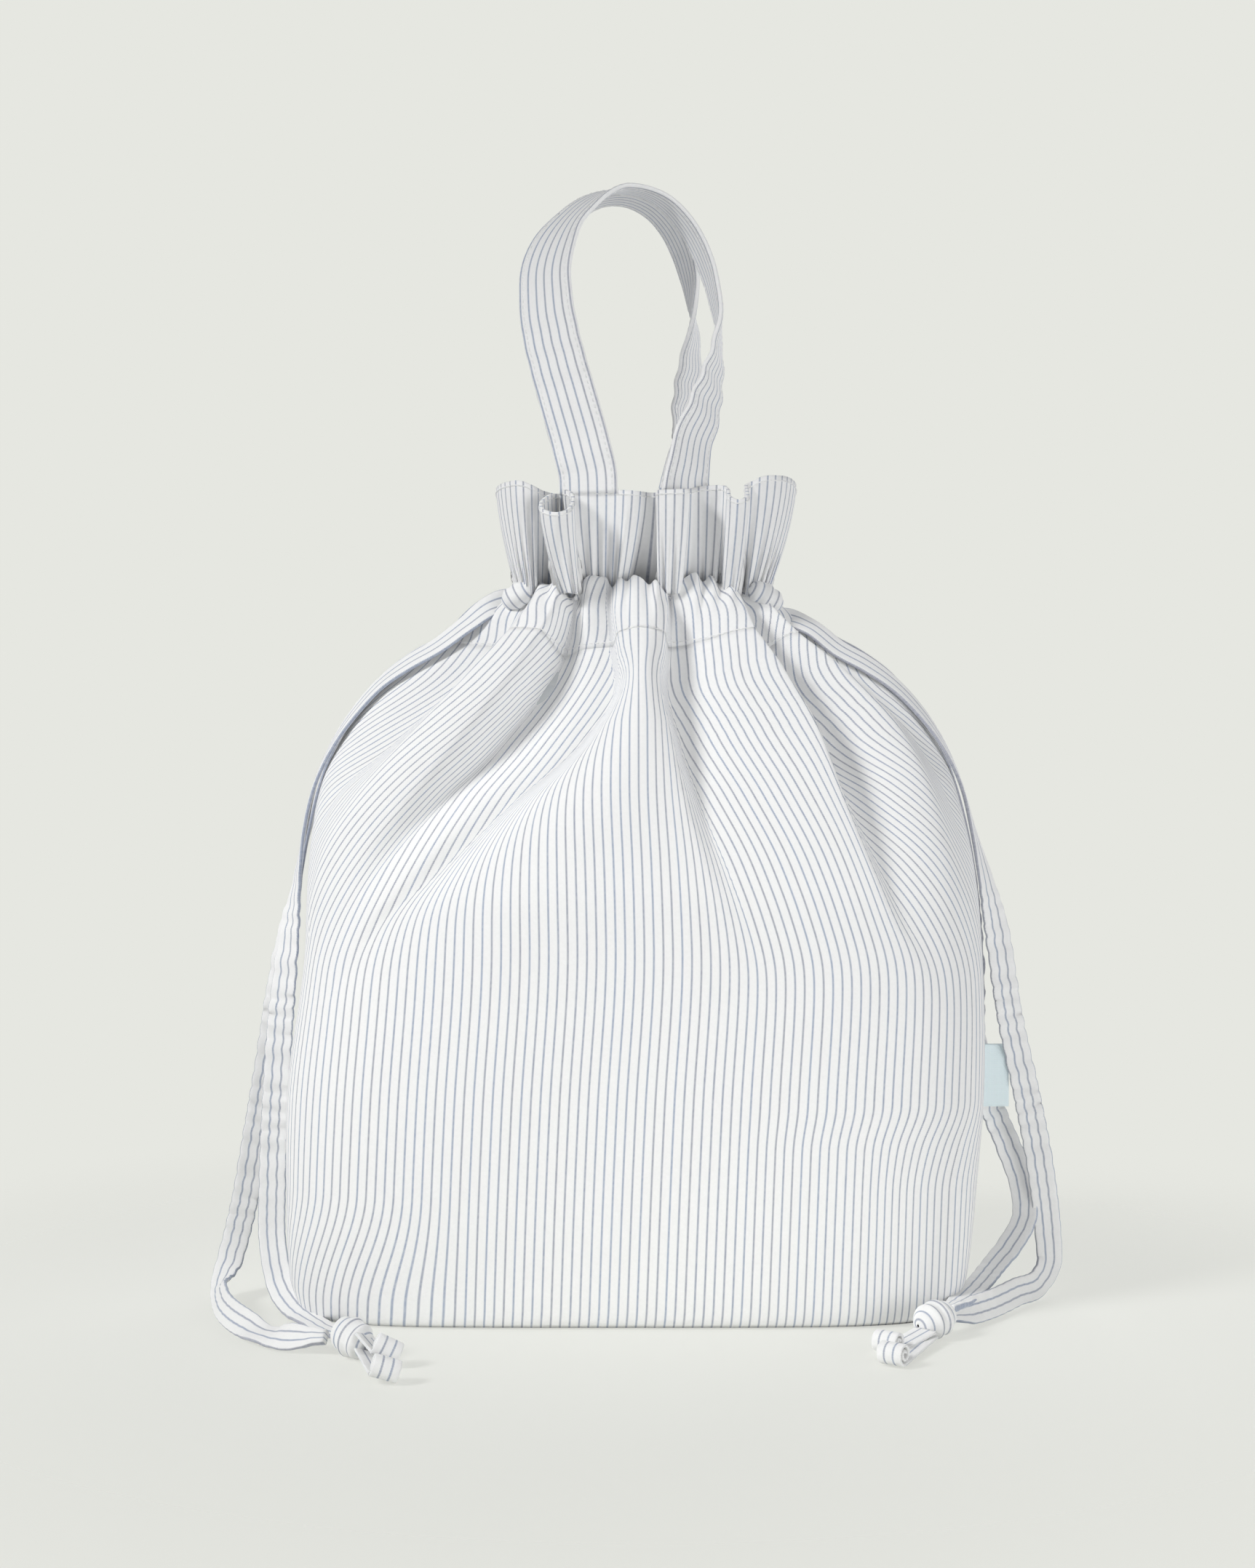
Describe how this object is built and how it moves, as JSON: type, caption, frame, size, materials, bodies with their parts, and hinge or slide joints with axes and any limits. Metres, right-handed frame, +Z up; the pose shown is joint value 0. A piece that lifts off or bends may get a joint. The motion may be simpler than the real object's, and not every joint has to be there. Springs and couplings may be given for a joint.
{
  "type": "drawstring cooler bag",
  "caption": "Soft insulated drawstring bag in pinstriped cotton with a boxy padded body, gathered channel and frill, twin carrying straps, knotted flat drawstrings and a foil lining.",
  "frame": {"origin": "middle of the base panel's underside, on the ground", "axes": "+Z up, +X to the right as seen from the front, -Y towards the front, so the side seams lie in the plane y = 0"},
  "size_m": [0.3327, 0.2072, 0.4304],
  "materials": {
    "striped_cotton": "thin plain-weave cotton with fine vertical blue-grey pinstripes",
    "foam": "closed-cell foam padding",
    "foil_lining": "metallised film, softly crumpled",
    "tag_ribbon": "plain woven pale-blue ribbon, bare"
  },
  "bodies": {
    "bag": {"outer_base_panel": "striped_cotton", "front_outer_panel": "striped_cotton", "rear_outer_panel": "striped_cotton", "base_insulation": "foam", "front_insulation": "foam", "rear_insulation": "foam", "base_lining": "foil_lining", "front_lining": "foil_lining", "rear_lining": "foil_lining", "left_outer_strand": "striped_cotton", "left_inner_strand": "striped_cotton", "right_outer_strand": "striped_cotton", "right_inner_strand": "striped_cotton"},
    "front_mouth": {"front_channel": "striped_cotton", "front_channel_facing": "striped_cotton", "front_frill": "striped_cotton", "left_string_front_run": "striped_cotton", "right_string_front_run": "striped_cotton", "front_left_strap_end": "striped_cotton", "front_right_strap_end": "striped_cotton"},
    "rear_mouth": {"rear_channel": "striped_cotton", "rear_channel_facing": "striped_cotton", "rear_frill": "striped_cotton", "left_string_rear_run": "striped_cotton", "right_string_rear_run": "striped_cotton", "rear_left_strap_end": "striped_cotton", "rear_right_strap_end": "striped_cotton"},
    "front_handle": {"front_handle_strap": "striped_cotton"},
    "rear_handle": {"rear_handle_strap": "striped_cotton"},
    "tag": {"side_tag": "tag_ribbon"},
    "left_string": {"left_knot": "striped_cotton", "left_long_tail": "striped_cotton", "left_short_tail": "striped_cotton"},
    "right_string": {"right_knot": "striped_cotton", "right_long_tail": "striped_cotton", "right_short_tail": "striped_cotton"}
  },
  "joints": [
    {"name": "front_mouth_open", "type": "slide", "parent": "bag", "child": "front_mouth", "axis": [0, -1, 0], "range_m": [0, 0.022]},
    {"name": "rear_mouth_open", "type": "slide", "parent": "bag", "child": "rear_mouth", "axis": [0, 1, 0], "range_m": [0, 0.022]},
    {"name": "front_handle_swing", "type": "hinge", "parent": "front_mouth", "child": "front_handle", "pos_m": [0, -0.031, 0.3066], "axis": [1, 0, 0], "range_deg": [0, 135]},
    {"name": "rear_handle_swing", "type": "hinge", "parent": "rear_mouth", "child": "rear_handle", "pos_m": [0, 0.031, 0.3066], "axis": [-1, 0, 0], "range_deg": [0, 135]},
    {"name": "side_tag_bend", "type": "hinge", "parent": "bag", "child": "tag", "pos_m": [0.1324, 0, 0.083], "axis": [0, 0, 1], "range_deg": [-60, 15]},
    {"name": "left_string_draw", "type": "slide", "parent": "bag", "child": "left_string", "axis": [-0.5708, 0.8211, 0], "range_m": [0, 0.025], "deforming": ["left_outer_strand", "left_inner_strand"]},
    {"name": "right_string_draw", "type": "slide", "parent": "bag", "child": "right_string", "axis": [0.6222, 0.7828, 0], "range_m": [0, 0.025], "deforming": ["right_outer_strand", "right_inner_strand"]}
  ],
  "couplings": [
    {"joint": "rear_mouth_open", "follows": "front_mouth_open", "ratio": 1},
    {"joint": "left_string_draw", "follows": "front_mouth_open", "ratio": 1.1},
    {"joint": "right_string_draw", "follows": "front_mouth_open", "ratio": 1.1}
  ]
}
